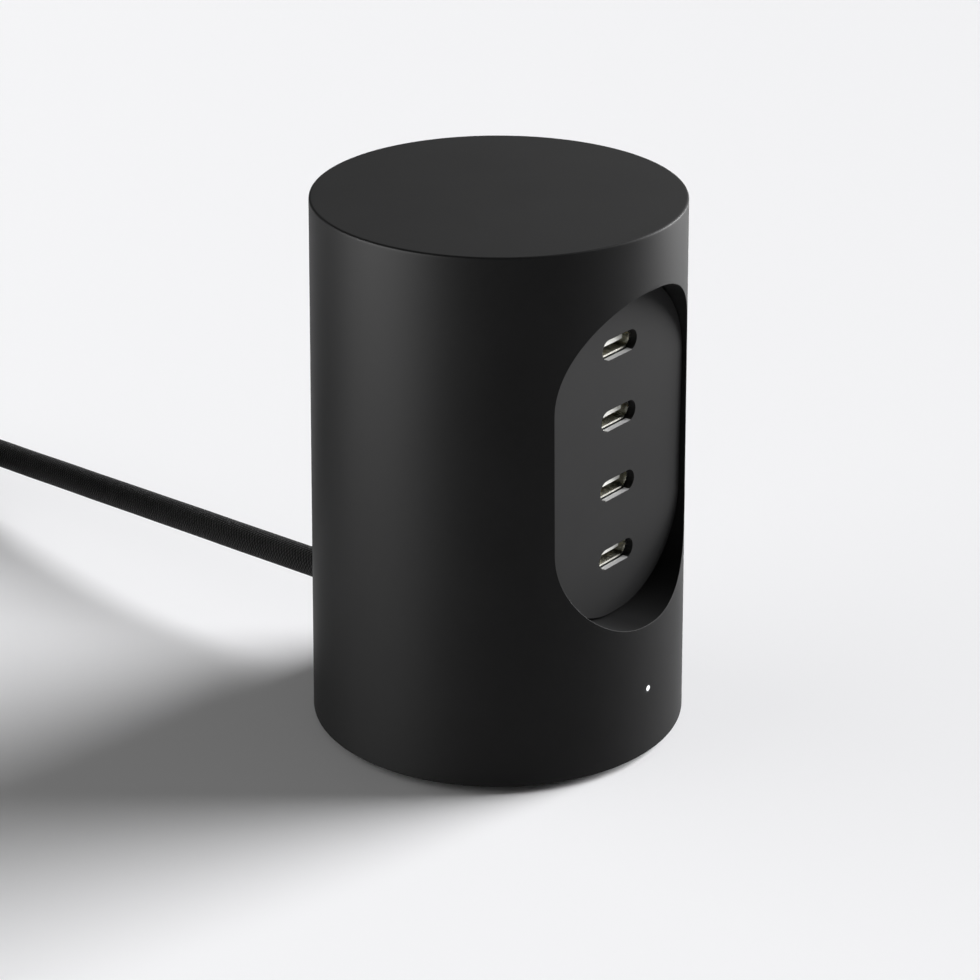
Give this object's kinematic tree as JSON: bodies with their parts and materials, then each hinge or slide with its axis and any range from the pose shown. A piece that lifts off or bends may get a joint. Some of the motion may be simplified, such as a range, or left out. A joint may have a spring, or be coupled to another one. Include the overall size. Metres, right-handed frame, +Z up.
{
  "type": "usb charger",
  "caption": "Round upright desktop USB charger: tapered matt housing, sunken panel with a column of USB-C ports, status light, and a coiled braided mains lead with a flat plug.",
  "frame": {"origin": "on the standing surface, under the centre of the round housing", "axes": "+Z up the tower's axis, ports face -Y, the lead leaves towards +Y"},
  "size_m": [0.1074, 0.2273, 0.0908],
  "materials": {
    "housing_black": "moulded, very fine texture",
    "panel_grey": "moulded, fine texture",
    "cover_black": "moulded",
    "foot_rubber": "matt rubber",
    "screw_steel": "zinc plated",
    "port_steel": "drawn stainless steel",
    "port_white": "moulded liquid crystal polymer",
    "contact_gold": "gold plated",
    "light_clear": "clear moulded, lit",
    "led_white": "clear resin",
    "board_green": "solder mask",
    "chip_black": "moulded epoxy",
    "coil_grey": "pressed powder",
    "ferrite": "sintered ferrite",
    "can_aluminium": "drawn can",
    "sleeve_blue": "printed-free shrink sleeve",
    "film_yellow": "moulded box",
    "fuse_ceramic": "ceramic tube",
    "copper": "enamelled copper wire",
    "tape_yellow": "polyester tape",
    "pad_blue": "silicone gap filler",
    "plate_aluminium": "folded sheet",
    "frame_grey": "moulded flame-retardant plastic",
    "foam_black": "closed-cell foam",
    "gland_rubber": "soft moulded",
    "wire_brown": "extruded insulation",
    "wire_blue": "extruded insulation",
    "cord_braid": "braided polyester",
    "tie_fabric": "hook-and-loop tape",
    "plug_black": "moulded",
    "pin_nickel": "nickel plated brass"
  },
  "bodies": {
    "root": {"housing": "housing_black", "base_cover": "cover_black", "foot_ring": "foot_rubber", "cover_screws": "screw_steel", "port_panel": "panel_grey", "usb_shell_1": "port_steel", "usb_shell_2": "port_steel", "usb_shell_3": "port_steel", "usb_shell_4": "port_steel", "usb_insulator_1": "port_white", "usb_insulator_2": "port_white", "usb_insulator_3": "port_white", "usb_insulator_4": "port_white", "usb_contacts": "contact_gold", "light_pipe": "light_clear", "status_led": "led_white", "port_board": "board_green", "port_inductors": "coil_grey", "port_controllers": "chip_black", "port_capacitors": "can_aluminium", "board_header": "chip_black", "main_board": "board_green", "power_chips": "chip_black", "bridge_rectifier": "chip_black", "x_capacitor": "film_yellow", "fuse": "fuse_ceramic", "choke_base": "chip_black", "choke_core": "ferrite", "choke_windings": "copper", "transformer_core": "ferrite", "transformer_bobbin": "chip_black", "transformer_winding": "tape_yellow", "bulk_capacitors": "sleeve_blue", "thermal_pad": "pad_blue", "heat_spreader": "plate_aluminium", "spreader_screws": "screw_steel", "inner_frame": "frame_grey", "top_brace": "frame_grey", "top_pad": "foam_black", "cord_gland": "gland_rubber", "cord_clamp": "frame_grey", "clamp_screws": "screw_steel", "lead_live": "wire_brown", "lead_neutral": "wire_blue", "cord_run": "cord_braid", "cord_coil": "cord_braid", "cord_tail": "cord_braid", "cord_tie": "tie_fabric", "plug_body": "plug_black", "plug_sleeves": "plug_black", "plug_pins": "pin_nickel"}
  },
  "joints": []
}
